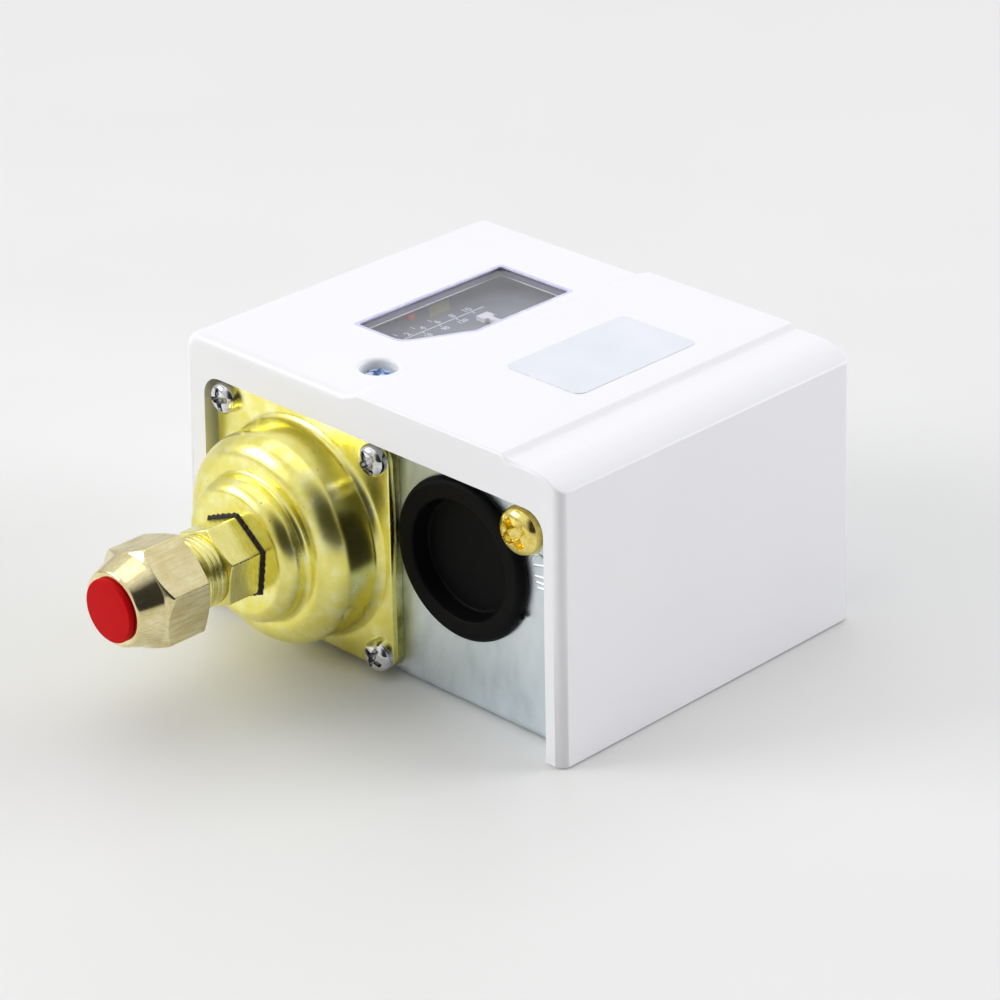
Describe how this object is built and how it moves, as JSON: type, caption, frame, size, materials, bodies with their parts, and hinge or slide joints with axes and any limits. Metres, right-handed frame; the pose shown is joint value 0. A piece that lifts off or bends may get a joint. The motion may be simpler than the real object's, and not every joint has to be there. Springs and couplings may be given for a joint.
{
  "type": "air compressor pressure switch",
  "caption": "Pressure switch with a moulded cover over a bent steel base, a bellows in a stepped brass housing with a plugged flare nut, scale window, cable grommet and adjusting screws.",
  "frame": {"origin": "centre of the mounting face, the outside of the steel base's back plate", "axes": "+X across the case towards the terminals, -Y along the pressure fitting, +Z out of the front cover"},
  "size_m": [0.087, 0.1092, 0.0503],
  "materials": {
    "white_moulding": "glossy moulded plastic",
    "clear_moulding": "clear polished plastic",
    "plate_film": "satin film",
    "zinc_sheet": "bright zinc plate",
    "backing_sheet": "yellow zinc plate",
    "bright_screws": "bright nickel plate",
    "drawn_brass": "bright dipped drawn brass",
    "turned_brass": "turned brass",
    "brass_plate": "polished brass plate",
    "braze": "dark braze line",
    "bronze": "thin spring bronze",
    "steel": "turned steel",
    "spring_steel": "spring wire",
    "scale_paint": "dark grey-green enamel",
    "red_pointer": "red enamel",
    "white_pointer": "white enamel",
    "black_moulding": "black phenolic",
    "black_rubber": "soft black rubber",
    "red_plastic": "soft red plastic"
  },
  "bodies": {
    "base": {"chassis": "zinc_sheet", "cover": "white_moulding", "window_pane": "clear_moulding", "nameplate": "plate_film", "cover_screw": "bright_screws", "bellows_housing": "drawn_brass", "bellows_flange": "backing_sheet", "flange_screws": "bright_screws", "flare_fitting": "turned_brass", "braze_ring": "braze", "bellows": "bronze", "rod_guide": "turned_brass", "lever_bracket": "zinc_sheet", "lever_pin": "steel", "pin_rings": "steel", "scale_plate": "scale_paint", "scale_screws": "bright_screws", "switch_body": "black_moulding", "switch_screws": "bright_screws", "terminals": "turned_brass", "terminal_screws": "bright_screws", "cable_grommet": "black_rubber", "ground_screw": "brass_plate"},
    "flare_nut": {"flare_nut": "turned_brass"},
    "dust_plug": {"dust_plug": "red_plastic"},
    "push_rod": {"push_rod": "steel"},
    "main_lever": {"main_lever": "zinc_sheet", "range_seat": "steel", "diff_seat": "steel", "range_spring": "spring_steel", "diff_spring": "spring_steel"},
    "range_screw": {"range_screw": "steel"},
    "range_carriage": {"range_nut": "turned_brass", "range_pointer": "red_pointer"},
    "diff_screw": {"diff_screw": "steel"},
    "diff_carriage": {"diff_nut": "turned_brass", "diff_pointer": "white_pointer"},
    "switch_plunger": {"switch_plunger": "black_moulding"}
  },
  "joints": [
    {"name": "lever_swing", "type": "hinge", "parent": "base", "child": "main_lever", "pos_m": [-0.033, -0.022, 0.0218], "axis": [0, 0, 1], "range_deg": [0, 2], "stiffness_Nm_per_rad": 0.5, "springref_deg": -2.86},
    {"name": "rod_slide", "type": "slide", "parent": "base", "child": "push_rod", "axis": [0, 1, 0], "range_m": [0, 0.0006], "deforming": ["bellows"]},
    {"name": "plunger_slide", "type": "slide", "parent": "base", "child": "switch_plunger", "axis": [0, 1, 0], "range_m": [0, 0.0016]},
    {"name": "range_turn", "type": "hinge", "parent": "base", "child": "range_screw", "pos_m": [-0.0165, 0.0302, 0.0218], "axis": [0, 1, 0], "range_deg": [-3240, 2160]},
    {"name": "range_travel", "type": "slide", "parent": "base", "child": "range_carriage", "axis": [0, 1, 0], "range_m": [-0.006, 0.009], "deforming": ["range_spring"]},
    {"name": "diff_turn", "type": "hinge", "parent": "base", "child": "diff_screw", "pos_m": [0.002, 0.0302, 0.0218], "axis": [0, 1, 0], "range_deg": [-2700, 2700]},
    {"name": "diff_travel", "type": "slide", "parent": "base", "child": "diff_carriage", "axis": [0, 1, 0], "range_m": [-0.006, 0.006], "deforming": ["diff_spring"]},
    {"name": "nut_turn", "type": "hinge", "parent": "base", "child": "flare_nut", "pos_m": [-0.0165, -0.0645, 0.0218], "axis": [0, 1, 0], "continuous": true},
    {"name": "plug_pull", "type": "slide", "parent": "flare_nut", "child": "dust_plug", "axis": [0, -1, 0], "range_m": [0, 0.008]}
  ],
  "couplings": [
    {"joint": "rod_slide", "follows": "lever_swing", "m_per_rad": 0.0165},
    {"joint": "plunger_slide", "follows": "lever_swing", "m_per_rad": 0.045},
    {"joint": "range_travel", "follows": "range_turn", "m_per_rad": -0.00015915},
    {"joint": "diff_travel", "follows": "diff_turn", "m_per_rad": -0.00012732}
  ]
}
